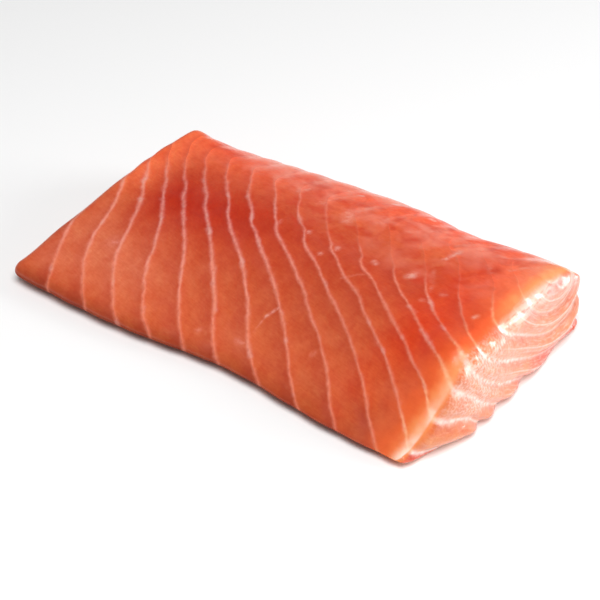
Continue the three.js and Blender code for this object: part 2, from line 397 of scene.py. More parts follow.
# What the blocks and the material read at each point of the surface.
SURFACE = {
    "sheet": count,
    "block_mm": block_mm,
    "free": mix(0.25, 1.0 + 0.9 * between(12, 2, z), right_cut),
    "cut_face": cut_face,
    "hook": hook,
    "sheet_shows": sheet_shows,
    "sheet_half": sheet_half,
    # block_shade is how strongly the painted shade of the blocks shows, deeper along the belly edge.
    "block_shade": 0.55 - 0.1 * hook + 0.3 * belly_foot - 0.45 * fading,
    "to_cut": to_cut + 3.0 * bell((v - 0.4) / 0.13),
    "rim": rim,
    "comb": comb,
    "smear": smear,
    "speckled_and_sparkling": right_cut * bell((v - 0.3) / 0.16) * between(5, 10, z) * between(12.08, 12.3, count),
    "dotted_glints": right_cut * bell((v - 0.4) / 0.16) * between(4, 8, z),
    "blotchy": between(0.48, 0.62, v) * between(0.2, 0.45, u) * between(4, 12, to_cut) * outer,
    "back_of_cut": cut_face * between(0.35, 0.6, v),
    "striped": cut_face * mix(0.3, 1.0, between(0.3, 0.55, v)),
    "haze_and_sheen": (0.04 + 0.46 * between(0.66, 0.9, v) * between(0.05, 0.25, u) + 0.24 * fading) * outer,
    "wet": mix(0.17, 0.22, between(12, 4, to_cut)),
    "dull_and_shaded": dull_and_shaded,
    "gleam": mix(0.35, 1.0, between(20, 8, to_cut)) * (1 - dull_and_shaded) * (1 - 0.9 * thin_film),
}
for name, values in SURFACE.items():
    layer = smooth_cut.attributes.new(name, "FLOAT", "POINT")
    layer.data.foreach_set("value", values.astype(np.float32))


def add(tree, kind, inputs=None, output=0, **settings):
    """Adds a node with its settings, joins or fills its inputs, and gives back one of its outputs."""
    made = tree.nodes.new(kind)
    for name, value in settings.items():
        setattr(made, name, value)
    for name, value in (inputs or {}).items():
        if isinstance(name, str):
            socket = next(s for s in made.inputs if s.name == name and s.enabled)
        else:
            socket = made.inputs[name]
        if isinstance(value, bpy.types.NodeSocket):
            tree.links.new(value, socket)
        else:
            socket.default_value = value
    if isinstance(output, str):
        return next(s for s in made.outputs if s.name == output and s.enabled)
    return made.outputs[output]


# The blocks swell between their sheets, with a furrow along each sheet and a fine grain over all.
SWELL = 1.0
SWELL_SQUARENESS = 2.4
FURROW_DEPTH = 0.12
FURROW_WIDTH = 0.7
GRAIN_HEIGHT = 0.5
GRAIN_SIZE = 2.6
GRAIN_SEED = 3.0

blocks = bpy.data.node_groups.new("muscle_blocks", "GeometryNodeTree")
blocks.interface.new_socket("Cut", in_out="INPUT", socket_type="NodeSocketGeometry")
BLOCK_INPUTS = {
    "Swell": SWELL * MM,
    "Squareness": SWELL_SQUARENESS,
    "Furrow Depth": FURROW_DEPTH * MM,
    "Furrow Width": FURROW_WIDTH,
    "Grain Height": GRAIN_HEIGHT * MM,
    "Grain Size": GRAIN_SIZE * MM,
    "Seed": GRAIN_SEED,
}
for name in BLOCK_INPUTS:
    blocks.interface.new_socket(name, in_out="INPUT", socket_type="NodeSocketFloat")
blocks.interface.new_socket("Flesh", in_out="INPUT", socket_type="NodeSocketMaterial")
blocks.interface.new_socket("Blocks", in_out="OUTPUT", socket_type="NodeSocketGeometry")

given = blocks.nodes.new("NodeGroupInput").outputs
sheet = add(blocks, "GeometryNodeInputNamedAttribute", {"Name": "sheet"}, "Attribute")
wide = add(blocks, "GeometryNodeInputNamedAttribute", {"Name": "block_mm"}, "Attribute")
loose = add(blocks, "GeometryNodeInputNamedAttribute", {"Name": "free"}, "Attribute")
turns = add(blocks, "ShaderNodeMath", {0: sheet, 1: math.pi}, operation="MULTIPLY")
wave = add(blocks, "ShaderNodeMath", {0: turns}, operation="COSINE")
wave = add(blocks, "ShaderNodeMath", {0: wave}, operation="ABSOLUTE")
wave = add(blocks, "ShaderNodeMath", {0: wave, 1: given["Squareness"]}, operation="POWER")
swell = add(blocks, "ShaderNodeMath", {0: 1.0, 1: wave}, operation="SUBTRACT")
swell = add(blocks, "ShaderNodeMath", {0: swell, 1: given["Swell"]}, operation="MULTIPLY")
nearest = add(blocks, "ShaderNodeMath", {0: sheet}, operation="ROUND")
off = add(blocks, "ShaderNodeMath", {0: sheet, 1: nearest}, operation="SUBTRACT")
off = add(blocks, "ShaderNodeMath", {0: off, 1: wide}, operation="MULTIPLY")
off = add(blocks, "ShaderNodeMath", {0: off, 1: given["Furrow Width"]}, operation="DIVIDE")
off = add(blocks, "ShaderNodeMath", {0: off, 1: off}, operation="MULTIPLY")
off = add(blocks, "ShaderNodeMath", {0: off, 1: -1.0}, operation="MULTIPLY")
furrow = add(blocks, "ShaderNodeMath", {0: off}, operation="EXPONENT")
furrow = add(blocks, "ShaderNodeMath", {0: furrow, 1: given["Furrow Depth"]}, operation="MULTIPLY")
rise = add(blocks, "ShaderNodeMath", {0: swell, 1: furrow}, operation="SUBTRACT")
fineness = add(blocks, "ShaderNodeMath", {0: 1.0, 1: given["Grain Size"]}, operation="DIVIDE")
grain = add(blocks, "ShaderNodeTexNoise", {"Scale": fineness, "W": given["Seed"]}, noise_dimensions="4D")
grain = add(blocks, "ShaderNodeMath", {0: grain, 1: 0.5}, operation="SUBTRACT")
grain = add(blocks, "ShaderNodeMath", {0: grain, 1: given["Grain Height"]}, operation="MULTIPLY")
rise = add(blocks, "ShaderNodeMath", {0: rise, 1: grain}, operation="ADD")
rise = add(blocks, "ShaderNodeMath", {0: rise, 1: loose}, operation="MULTIPLY")

# Nothing is pushed down, so that the underside stays flat.
outward = add(blocks, "GeometryNodeInputNormal")
outward = add(blocks, "ShaderNodeVectorMath", {0: outward, 1: (-1.0, -1.0, 0.0)}, operation="MAXIMUM")
push = add(blocks, "ShaderNodeVectorMath", {0: outward, "Scale": rise}, operation="SCALE")
shape = add(blocks, "GeometryNodeSetPosition", {"Geometry": given["Cut"], "Offset": push})
shape = add(blocks, "GeometryNodeSetShadeSmooth", {"Geometry": shape})
shape = add(blocks, "GeometryNodeRealizeInstances", {"Geometry": shape})
shape = add(blocks, "GeometryNodeSetMaterial", {"Geometry": shape, "Material": given["Flesh"]})
result = blocks.nodes.new("NodeGroupOutput")
blocks.links.new(shape, result.inputs["Blocks"])

# ---------------------------------------------------------------------------------------------------
# Raw salmon flesh, sliced with a sharp knife: wet, see-through red-orange muscle with thin salmon-pink
# sheets of fat and connective tissue. Light goes a few millimetres into it, and its wet film shines.
# ---------------------------------------------------------------------------------------------------


def linear(code):
    """Linear colour from an sRGB hex value."""
    shares = np.array([int(code[i:i + 2], 16) for i in (1, 3, 5)]) / 255
    return np.where(shares <= 0.04045, shares / 12.92, ((shares + 0.055) / 1.055) ** 2.4)


def laid_over(ground, tones):
    """A colour for each point of the surface: the ground, and over it each tone with its share."""
    mixed = np.tile(linear(ground), (len(points), 1))
    for code, share in tones:
        mixed = mix(mixed, linear(code), share[:, None])
    return mixed


def keep_colour(name, tone):
    layer = smooth_cut.attributes.new(name, "FLOAT_COLOR", "POINT")
    layer.data.foreach_set("color", np.c_[tone, np.ones(len(tone))].astype(np.float32).ravel())


band = bell((v - mix(0.52, 0.46, u)) / 0.17) * between(0.04, 0.16, u) * mix(1, 0.55, between(0.25, 0.6, u))

keep_colour("tone", laid_over("#cf5c33", (
    # The belly half is paler towards the left cut, and browner low in the middle.
    ("#e2805c", 0.5 * bell((u - 0.19) / 0.13) * bell((v - 0.2) / 0.16)),
    ("#d26a4a", 0.3 * between(0.2, 0.05, u) * between(0.5, 0.2, v)),
    ("#c04e28", 0.5 * bell((u - 0.55) / 0.2) * bell((v - 0.28) / 0.16)),
    # A dark red band runs along the middle, and the belly edge is painted brown: painted shade where the
    # surface rounds under.
    ("#b82806", band),
    ("#bc4c1c", 0.5 * belly_foot),
    # The back half is pinker, with a pale edge, partly flesh colour and partly painted sheen of the wet film
    # seen at a grazing angle. Its left tip is orange.
    ("#f45c38", between(0.6, 0.95, v)),
    ("#fc8864", between(0.84, 1.0, v) * between(0.06, 0.2, u) * between(0.6, 0.4, u)),
    ("#ee6a3c", between(0.14, 0.02, u) * between(0.4, 0.6, v)),
    # Near the right cut light comes in through the cut: hot red, then paler and paler.
    ("#d03c12", between(36, 18, to_cut) * between(1.0, 0.6, v)),
    ("#d0562a", between(36, 18, to_cut) * between(0.28, 0.12, v)),
    ("#f46c4a", between(24, 10, to_cut) * between(0.45, 0.8, v)),
    ("#f2a084", between(11, 3, to_cut) * between(0.45, 0.8, v)),
    # Painted shade: the belly side is darker where it turns under, away from the light.
    ("#a4401c", 0.7 * between(0.95, 0.6, normals[:, 2]) * between(0.12, 0.04, v) * outer),
    ("#983814", dull_and_shaded),
    # The cuts are pale. The right one is pinker near the top, where it is partly painted sheen under the
    # shoulder, and redder at its foot and in its first block.
    ("#e07650", cut_face),
    ("#da7a44", right_cut),
    ("#e69c8c", right_cut * between(11, 2, deep) * between(0.3, 0.7, v)),
    ("#de6040", right_cut * between(9, 2.5, z) * between(0.4, 0.75, v)),
    ("#d04a26", right_cut * between(11.03, 10.97, count)),
    ("#c8401e", right_cut * between(2.6, 1.2, z)),
)))

# The sheets are duller in the dark band and to the right, and brightest on the cuts. Within about 12 mm of
# the right cut they are paler orange, painted glow of the light that comes in through the cut.
keep_colour("sheet_tone", laid_over("#ea947e", (
    ("#dc867c", band),
    ("#de8068", between(0.4, 0.75, u)),
    ("#e6866a", between(0.25, 0.08, v)),
    ("#f2a08c", hook),
    ("#f8b488", between(12, 4, to_cut)),
    ("#fadcd0", cut_face),
)))

# Flecks and side branches of fat, and a few painted glints, each from one point to another as seen from
# above, with half its width and how strongly it shows. Each fades out over a few times its half width.
MARK_FADE = 2.4
FLECKS_AND_GLINTS = (
    ((15.1, 22.2), (12.4, 18.1), 0.4, 0.8),
    ((12.4, 18.1), (11.8, 13.0), 0.3, 0.45),
    ((35.1, 39.6), (29.0, 35.6), 0.35, 0.5),
    ((47.4, 46.2), (48.2, 47.4), 1.1, 1.0),
    ((51.8, 59.6), (53.3, 67.1), 0.7, 0.9),
    ((34.0, 46.8), (34.8, 46.2), 0.8, 0.9),
    ((6.9, 49.2), (7.3, 48.6), 0.7, 0.8),
    ((-4.7, 49.6), (-4.4, 48.4), 0.6, 0.6),
    ((19.8, 46.8), (20.2, 46.3), 0.8, 0.9),
    ((16.6, 42.2), (16.9, 42.0), 0.6, 0.8),
    ((49.7, 69.6), (56.3, 76.9), 1.1, 0.4),
    ((32.7, 67.1), (43.8, 77.3), 1.1, 0.4),
    ((63.9, 66.0), (67.4, 61.4), 1.0, 0.45),
    ((63.7, 70.4), (70.5, 76.2), 0.9, 0.35),
    ((71.5, 65.6), (77.6, 73.8), 0.8, 0.45),
    ((13.8, 61.6), (11.6, 66.5), 1.7, 0.6),
    ((11.6, 66.5), (15.3, 74.4), 1.4, 0.42),
    ((-0.2, 66.1), (1.8, 71.5), 1.6, 0.45),
    ((1.8, 71.5), (5.4, 77.3), 1.2, 0.35),
    ((-10.8, 67.1), (-8.7, 71.8), 1.4, 0.45),
    ((22.8, 66.2), (23.9, 72.2), 1.4, 0.45),
    ((23.9, 72.2), (26.1, 75.8), 1.0, 0.35),
    ((61.0, 43.2), (61.6, 43.6), 0.9, 0.55),
    ((57.2, 37.8), (57.8, 38.2), 0.8, 0.5),
    ((52.1, 52.6), (57.0, 43.4), 0.7, 0.45),
    ((75.0, 38.4), (75.5, 39.2), 0.7, 0.7),
    ((-5.4, 6.4), (-4.9, 6.8), 0.9, 0.45),
    ((8.2, 8.8), (11.5, 9.2), 0.9, 0.55),
    ((34.3, 13.1), (34.8, 13.5), 0.7, 0.5),
    ((-53.6, 20.0), (-51.4, 21.2), 1.8, 0.4),
    ((64.7, 48.2), (70.9, 38.0), 0.8, 0.3),
    # The last three are painted highlights: tiny glints of the wet film near the back edge.
    ((6.4, 79.4), (7.2, 79.9), 0.5, 1.0),
    ((17.8, 82.6), (20.4, 82.6), 0.5, 1.0),
    ((33.1, 81.2), (34.8, 81.4), 0.6, 1.0),
)

# Small bruises and blood spots, given in the same way.
RED_MARKS = (
    ((51.0, 46.0), (51.0, 46.6), 1.3, 0.8),
    ((35.8, 62.5), (38.3, 65.4), 1.4, 0.7),
    ((68.2, 62.8), (68.5, 63.2), 1.4, 0.9),
    ((-11.0, 75.6), (-6.0, 76.2), 1.0, 0.6),
    ((8.9, 70.6), (12.5, 76.3), 1.1, 0.5),
    ((-51.7, 72.3), (-46.1, 74.5), 0.9, 0.5),
    ((-43.3, 73.5), (-39.6, 75.6), 0.9, 0.5),
)


def marks_at(marks, x, y):
    """How strongly the nearest of some marks shows at each point."""
    shows = np.zeros_like(x)
    for start, end, half, strength in marks:
        run = np.subtract(end, start)
        share = np.clip(((x - start[0]) * run[0] + (y - start[1]) * run[1]) / (run @ run), 0, 1)
        away = np.hypot(x - start[0] - share * run[0], y - start[1] - share * run[1])
        shows = np.maximum(shows, strength * np.clip(1 - away / (MARK_FADE * half), 0, 1))
    return shows


on_top = deep < 1
for name, marks in (("fleck_and_glint", FLECKS_AND_GLINTS), ("red_mark", RED_MARKS)):
    layer = smooth_cut.attributes.new(name, "FLOAT", "POINT")
    layer.data.foreach_set("value", (marks_at(marks, x, y) * on_top).astype(np.float32))


def paint(code):
    """The same colour as a node's socket takes it."""
    return [*linear(code), 1.0]


def spots(size):
    """The scale of a noise pattern from how far apart its spots lie, in millimetres."""
    return 1 / (size * MM)


flesh = bpy.data.materials.new("raw_salmon_flesh")
flesh.use_nodes = True
skin = flesh.node_tree
shader = skin.nodes["Principled BSDF"]
here = add(skin, "ShaderNodeTexCoord", output="Object")
held = {}
for name in (*SURFACE, "fleck_and_glint", "red_mark"):
    if name != "free":
        held[name] = add(skin, "ShaderNodeAttribute", output="Fac", attribute_name=name)
tone = add(skin, "ShaderNodeAttribute", output="Color", attribute_name="tone")
sheet_tone = add(skin, "ShaderNodeAttribute", output="Color", attribute_name="sheet_tone")

# The sheets wander this many millimetres from their even course, in small and in slow bends, and less
# on the cuts.
WOBBLE_SIZE = 5.0
WOBBLE = 0.9
SLOW_WOBBLE_SIZE = 13.0
SLOW_WOBBLE = 2.0
small = add(skin, "ShaderNodeTexNoise", {"Vector": here, "Scale": spots(WOBBLE_SIZE), "Detail": 1.0})
small = add(skin, "ShaderNodeMath", {0: small, 1: 0.5}, operation="SUBTRACT")
small = add(skin, "ShaderNodeMath", {0: small, 1: WOBBLE}, operation="MULTIPLY")
slow = add(skin, "ShaderNodeTexNoise", {"Vector": here, "Scale": spots(SLOW_WOBBLE_SIZE), "Detail": 0.0})
slow = add(skin, "ShaderNodeMath", {0: slow, 1: 0.5}, operation="SUBTRACT")
slow = add(skin, "ShaderNodeMath", {0: slow, 1: SLOW_WOBBLE}, operation="MULTIPLY")
aside = add(skin, "ShaderNodeMath", {0: small, 1: slow}, operation="ADD")
steady = add(skin, "ShaderNodeMapRange", {"Value": held["cut_face"], "To Min": 1.0, "To Max": 0.4})
aside = add(skin, "ShaderNodeMath", {0: aside, 1: steady}, operation="MULTIPLY")
aside_share = add(skin, "ShaderNodeMath", {0: aside, 1: held["block_mm"]}, operation="DIVIDE")
counted = add(skin, "ShaderNodeMath", {0: held["sheet"], 1: aside_share}, operation="ADD")


def distance_to_sheet(counted, wide):
    """Millimetres over the surface to the nearest whole number of the count."""
    nearest = add(skin, "ShaderNodeMath", {0: counted}, operation="ROUND")
    off = add(skin, "ShaderNodeMath", {0: counted, 1: nearest}, operation="SUBTRACT")
    off = add(skin, "ShaderNodeMath", {0: off}, operation="ABSOLUTE")
    return add(skin, "ShaderNodeMath", {0: off, 1: wide}, operation="MULTIPLY")


def soft_line(off, half):
    """1 on the middle of a line, a half at its half width, and softly down to nothing."""
    line = add(skin, "ShaderNodeMath", {0: off, 1: half}, operation="DIVIDE")
    line = add(skin, "ShaderNodeMath", {0: line, 1: line}, operation="MULTIPLY")
    line = add(skin, "ShaderNodeMath", {0: line, 1: -math.log(2)}, operation="MULTIPLY")
    return add(skin, "ShaderNodeMath", {0: line}, operation="EXPONENT")


# A sheet is a soft-edged line that gets thicker and thinner, swells into dull knots here and there, and
# feathers out where it hooks aside.
THICKENING_SIZE = 4.0
KNOT_SIZE = 6.5
BEAD_SIZE = 1.7
FEATHER_SIZE = 4.0
vary = add(skin, "ShaderNodeTexNoise", {"Vector": here, "Scale": spots(THICKENING_SIZE), "Detail": 3.0,
                                        "Roughness": 0.7})
vary = add(skin, "ShaderNodeMapRange", {"Value": vary, "From Min": 0.3, "From Max": 0.7,
                                        "To Min": 0.62, "To Max": 1.4})
knots = add(skin, "ShaderNodeTexNoise", {"Vector": here, "Scale": spots(KNOT_SIZE), "Detail": 1.0})
knots = add(skin, "ShaderNodeMapRange", {"Value": knots, "From Min": 0.58, "From Max": 0.76},
            interpolation_type="SMOOTHSTEP")
thicker = add(skin, "ShaderNodeMath", {0: knots, 1: 0.4, 2: 1.0}, operation="MULTIPLY_ADD")
thicker = add(skin, "ShaderNodeMath", {0: held["dotted_glints"], 1: 0.6, 2: thicker}, operation="MULTIPLY_ADD")
half = add(skin, "ShaderNodeMath", {0: held["sheet_half"], 1: vary}, operation="MULTIPLY")
half = add(skin, "ShaderNodeMath", {0: half, 1: thicker}, operation="MULTIPLY")
off = distance_to_sheet(counted, held["block_mm"])
line = soft_line(off, half)
line = add(skin, "ShaderNodeMath", {0: line, 1: held["sheet_shows"]}, operation="MULTIPLY")
beads = add(skin, "ShaderNodeTexNoise", {"Vector": here, "Scale": spots(BEAD_SIZE), "Detail": 2.0})
beads = add(skin, "ShaderNodeMapRange", {"Value": beads, "From Min": 0.3, "From Max": 0.62,
                                         "To Min": 0.55, "To Max": 1.0})
line = add(skin, "ShaderNodeMath", {0: line, 1: beads}, operation="MULTIPLY")
feather = add(skin, "ShaderNodeTexNoise", {"Vector": here, "Scale": spots(FEATHER_SIZE), "Detail": 4.0})
feather = add(skin, "ShaderNodeMapRange", {"Value": feather, "From Min": 0.36, "From Max": 0.64,
                                           "To Min": 0.05, "To Max": 0.85})
feather = add(skin, "ShaderNodeMix", {"Factor": held["hook"], "A": 0.92, "B": feather}, "Result")
line = add(skin, "ShaderNodeMath", {0: line, 1: feather}, operation="MULTIPLY")

# In the belly half of the right cut the sheets show as rows of white dots: painted glints of the wet film
# on the torn sheets.
GLINT_DOT_SIZE = 1.3
glint_dots = add(skin, "ShaderNodeTexNoise", {"Vector": here, "Scale": spots(GLINT_DOT_SIZE), "Detail": 1.0})
glint_dots = add(skin, "ShaderNodeMapRange", {"Value": glint_dots, "From Min": 0.42, "From Max": 0.56,
                                        "To Min": -0.75, "To Max": 0.15})
glint_dots = add(skin, "ShaderNodeMath", {0: glint_dots, 1: held["dotted_glints"], 2: 1.0}, operation="MULTIPLY_ADD")
line = add(skin, "ShaderNodeMath", {0: line, 1: glint_dots}, operation="MULTIPLY")

# Thinner sheets lie halfway between the others, and only show in the back half of the cuts.
THIN_SHEET_HALF = 0.25
THIN_SHEET_SHOWS = 0.6
between_count = add(skin, "ShaderNodeMath", {0: counted, 1: 0.5}, operation="ADD")
thin = soft_line(distance_to_sheet(between_count, held["block_mm"]), THIN_SHEET_HALF)
thin = add(skin, "ShaderNodeMath", {0: thin, 1: held["back_of_cut"]}, operation="MULTIPLY")
thin = add(skin, "ShaderNodeMath", {0: thin, 1: beads}, operation="MULTIPLY")
thin = add(skin, "ShaderNodeMath", {0: thin, 1: THIN_SHEET_SHOWS}, operation="MULTIPLY")
line = add(skin, "ShaderNodeMath", {0: line, 1: thin}, operation="MAXIMUM")

# The flecks have ragged edges.
RAGGED_SIZE = 1.6
ragged = add(skin, "ShaderNodeTexNoise", {"Vector": here, "Scale": spots(RAGGED_SIZE), "Detail": 3.0})
fleck_and_glint = add(skin, "ShaderNodeMapRange", {"Value": ragged, "From Min": 0.3, "From Max": 0.7,
                                         "To Min": 0.55, "To Max": 1.45})
fleck_and_glint = add(skin, "ShaderNodeMath", {0: fleck_and_glint, 1: held["fleck_and_glint"]}, operation="MULTIPLY")
fleck_and_glint = add(skin, "ShaderNodeMapRange", {"Value": fleck_and_glint, "From Min": 0.0, "From Max": 1.1,
                                         "To Min": 0.0, "To Max": 0.85}, interpolation_type="SMOOTHSTEP")
line = add(skin, "ShaderNodeMath", {0: line, 1: fleck_and_glint}, operation="MAXIMUM")

# Painted light and shade: the blocks overlap like shingles, so each block is painted lighter on its head
# side, which tilts towards the light, and darker and redder on its tail side, which tilts away.
HEAD_SIDE_PAINTED_LIGHT = 1.12
TAIL_SIDE_PAINTED_SHADE = (0.72, 0.5, 0.6)
into = add(skin, "ShaderNodeMath", {0: counted}, operation="FRACT")
shade = add(skin, "ShaderNodeMapRange", {"Value": into, "From Min": 0.35, "From Max": 1.0},
            interpolation_type="SMOOTHSTEP")
shade = add(skin, "ShaderNodeMath", {0: shade, 1: held["block_shade"]}, operation="MULTIPLY")
painted_shade_tone = add(skin, "ShaderNodeVectorMath", {0: tone, 1: TAIL_SIDE_PAINTED_SHADE}, operation="MULTIPLY")
colour = add(skin, "ShaderNodeMix", {"Factor": shade, "A": tone, "B": painted_shade_tone}, "Result", data_type="RGBA")
painted_light_gain = add(skin, "ShaderNodeMapRange", {"Value": into, "From Min": 0.0, "From Max": 0.5,
                                          "To Min": HEAD_SIDE_PAINTED_LIGHT, "To Max": 1.0},
             interpolation_type="SMOOTHSTEP")
colour = add(skin, "ShaderNodeVectorMath", {0: colour, "Scale": painted_light_gain}, operation="SCALE")

# Muscle fibres run aslant through the blocks. The real ones are about 0.2 mm thick, too fine to show, so
# they are drawn coarser. The flesh is also mottled, from coarse to fine. It swings between deep orange and
# a paler pink, so its red changes least and its blue most. Each mottle has its size in millimetres, its
# detail and how far it swings.
FIBRE_ANGLE = math.radians(-14)
FIBRE_SIZE = np.array([3.2, 0.55, 0.55])
FIBRE_SWING = 0.07
MOTTLES = (
    (14.0, 1.0, 0.05),
    (4.5, 3.0, 0.12),
    (1.3, 2.0, 0.06),
)
RED_GREEN_BLUE_SWING = np.array([0.5, 1.9, 2.4])
turned = add(skin, "ShaderNodeMapping", {"Vector": here, "Rotation": (0, 0, FIBRE_ANGLE),
                                         "Scale": FIBRE_SIZE * MM}, vector_type="TEXTURE")
fibre = add(skin, "ShaderNodeTexNoise", {"Vector": turned, "Scale": 1.0, "Detail": 2.0, "Distortion": 0.5})
patterns = [(fibre, FIBRE_SWING)]
for size, detail, reach in MOTTLES:
    mottle = add(skin, "ShaderNodeTexNoise", {"Vector": here, "Scale": spots(size), "Detail": detail})
    patterns.append((mottle, reach))
for pattern, reach in patterns:
    swing = reach * RED_GREEN_BLUE_SWING
    pattern = add(skin, "ShaderNodeMapRange", {"Vector": pattern, "From Min": [0.25] * 3,
                                               "From Max": [0.75] * 3, "To Min": 1 - swing,
                                               "To Max": 1 + swing}, "Vector", data_type="FLOAT_VECTOR")
    colour = add(skin, "ShaderNodeVectorMath", {0: colour, 1: pattern}, operation="MULTIPLY")

# Dark red and milky patches, most of all towards the back, and small red marks. The milky patches are
# partly pale flesh and partly painted sheen of the wet film, seen at a grazing angle.
BLOTCH_SIZE = 8.0
MILKY_SHEEN_SIZE = 10.0
blotch = add(skin, "ShaderNodeTexNoise", {"Vector": here, "Scale": spots(BLOTCH_SIZE), "Detail": 2.0,
                                          "Distortion": 0.8})
blotch = add(skin, "ShaderNodeMapRange", {"Value": blotch, "From Min": 0.54, "From Max": 0.36,
                                          "To Min": 0.0, "To Max": 0.48}, interpolation_type="SMOOTHSTEP")
blotch = add(skin, "ShaderNodeMath", {0: blotch, 1: held["blotchy"]}, operation="MULTIPLY")
colour = add(skin, "ShaderNodeMix", {"Factor": blotch, "A": colour, "B": paint("#c22c0c")}, "Result",
             data_type="RGBA")
milky_sheen = add(skin, "ShaderNodeTexNoise", {"Vector": here, "Scale": spots(MILKY_SHEEN_SIZE), "Detail": 2.0,
                                         "Distortion": 0.6})
milky_sheen = add(skin, "ShaderNodeMapRange", {"Value": milky_sheen, "From Min": 0.36, "From Max": 0.72},
            interpolation_type="SMOOTHSTEP")
milky_sheen = add(skin, "ShaderNodeMath", {0: milky_sheen, 1: held["haze_and_sheen"]}, operation="MULTIPLY")
colour = add(skin, "ShaderNodeMix", {"Factor": milky_sheen, "A": colour, "B": paint("#f0927c")}, "Result",
             data_type="RGBA")
colour = add(skin, "ShaderNodeMix", {"Factor": held["red_mark"], "A": colour, "B": paint("#c4300c")},
             "Result", data_type="RGBA")

# Close to the right cut the thin rim of the flesh glows from the light behind it: orange, and paler at
# its very edge. Each glow has its reach and how unevenly it ends in millimetres, and its strongest share.
GLOWS = (
    ("#f46c34", 18.0, 11.0, 0.9),
    ("#f2a060", 7.5, 8.0, 0.75),
)
UNEVEN_SIZE = 8.0
away = add(skin, "ShaderNodeMath", {0: 1.0, 1: held["cut_face"]}, operation="SUBTRACT")
uneven = add(skin, "ShaderNodeTexNoise", {"Vector": here, "Scale": spots(UNEVEN_SIZE), "Detail": 3.0})
uneven = add(skin, "ShaderNodeMath", {0: uneven, 1: 0.5}, operation="SUBTRACT")
for code, reach, spread, most in GLOWS:
    glow = add(skin, "ShaderNodeMath", {0: uneven, 1: -spread, 2: held["to_cut"]}, operation="MULTIPLY_ADD")
    glow = add(skin, "ShaderNodeMapRange", {"Value": glow, "From Min": 0.0, "From Max": reach,
                                            "To Min": most, "To Max": 0.0}, interpolation_type="SMOOTHSTEP")
    glow = add(skin, "ShaderNodeMath", {0: glow, 1: away}, operation="MULTIPLY")
    colour = add(skin, "ShaderNodeMix", {"Factor": glow, "A": colour, "B": paint(code)}, "Result",
                 data_type="RGBA")

# Fine stripes along the sheets show on the cuts.
STRIPES_IN_A_BLOCK = 11.0
STRIPE_LENGTH = 4.0
layered = add(skin, "ShaderNodeMath", {0: counted, 1: STRIPES_IN_A_BLOCK}, operation="MULTIPLY")
apart = add(skin, "ShaderNodeSeparateXYZ", {"Vector": here}, "Y")
apart = add(skin, "ShaderNodeMath", {0: apart, 1: spots(STRIPE_LENGTH)}, operation="MULTIPLY")
stripes = add(skin, "ShaderNodeCombineXYZ", {"X": layered, "Y": apart})
stripes = add(skin, "ShaderNodeTexNoise", {"Vector": stripes, "Scale": 1.0, "Detail": 2.0})
stripes = add(skin, "ShaderNodeMapRange", {"Value": stripes, "From Min": 0.48, "From Max": 0.78,
                                           "To Min": 0.0, "To Max": 0.4})
stripes = add(skin, "ShaderNodeMath", {0: stripes, 1: held["striped"]}, operation="MULTIPLY")
line = add(skin, "ShaderNodeMath", {0: line, 1: stripes}, operation="MAXIMUM")

# All that is white goes over the flesh together, duller in the knots and flecks.
knots = add(skin, "ShaderNodeMath", {0: knots, 1: fleck_and_glint}, operation="MAXIMUM")
knots = add(skin, "ShaderNodeMath", {0: knots, 1: 0.55}, operation="MULTIPLY")
sheet_tone = add(skin, "ShaderNodeMix", {"Factor": knots, "A": sheet_tone, "B": paint("#e2b4ac")}, "Result",
                 data_type="RGBA")
colour = add(skin, "ShaderNodeMix", {"Factor": line, "A": colour, "B": sheet_tone}, "Result",
             data_type="RGBA")

# Fine pale grain shows in the belly half of the right cut, where the knife went across the fibres, and it
# also stands in for the fine sparkle of the wet film there, as a painted highlight. It too is drawn coarser
# than the real one, which is as fine as the fibres.
SPECK_SIZE = 0.9
grain_and_sparkle = add(skin, "ShaderNodeTexNoise", {"Vector": here, "Scale": spots(SPECK_SIZE), "Detail": 2.0})
grain_and_sparkle = add(skin, "ShaderNodeMapRange", {"Value": grain_and_sparkle, "From Min": 0.42, "From Max": 0.66,
                                           "To Min": 0.06, "To Max": 0.55})
grain_and_sparkle = add(skin, "ShaderNodeMath", {0: grain_and_sparkle, 1: held["speckled_and_sparkling"]}, operation="MULTIPLY")
colour = add(skin, "ShaderNodeMix", {"Factor": grain_and_sparkle, "A": colour, "B": paint("#fadcd0")}, "Result",
             data_type="RGBA")

# The wet rim, torn tissue and painted highlight, goes over everything: broken up near the belly edge,
# then in short strokes across the edge of the cut, then in smears along it.
TEAR_SIZE = 3.0
STROKE_SIZE = np.array([5.0, 1.2, 3.0])
SMEAR_SIZE = np.array([1.6, 9.0, 1.6])
broken = add(skin, "ShaderNodeTexNoise", {"Vector": here, "Scale": spots(TEAR_SIZE), "Detail": 3.0})
broken = add(skin, "ShaderNodeMapRange", {"Value": broken, "From Min": 0.35, "From Max": 0.6,
                                          "To Min": 0.6, "To Max": 1.0})
broken = add(skin, "ShaderNodeMath", {0: broken, 1: held["rim"]}, operation="MULTIPLY")
drawn = add(skin, "ShaderNodeMapping", {"Vector": here, "Scale": STROKE_SIZE * MM}, vector_type="TEXTURE")
strokes = add(skin, "ShaderNodeTexNoise", {"Vector": drawn, "Scale": 1.0, "Detail": 2.0})
strokes = add(skin, "ShaderNodeMapRange", {"Value": strokes, "From Min": 0.48, "From Max": 0.7,
                                           "To Min": 0.0, "To Max": 0.8})
strokes = add(skin, "ShaderNodeMath", {0: strokes, 1: held["comb"]}, operation="MULTIPLY")
torn_rim_and_highlight = add(skin, "ShaderNodeMath", {0: broken, 1: strokes}, operation="MAXIMUM")
dragged = add(skin, "ShaderNodeMapping", {"Vector": here, "Scale": SMEAR_SIZE * MM}, vector_type="TEXTURE")
smears = add(skin, "ShaderNodeTexNoise", {"Vector": dragged, "Scale": 1.0, "Detail": 2.0, "Distortion": 0.3})
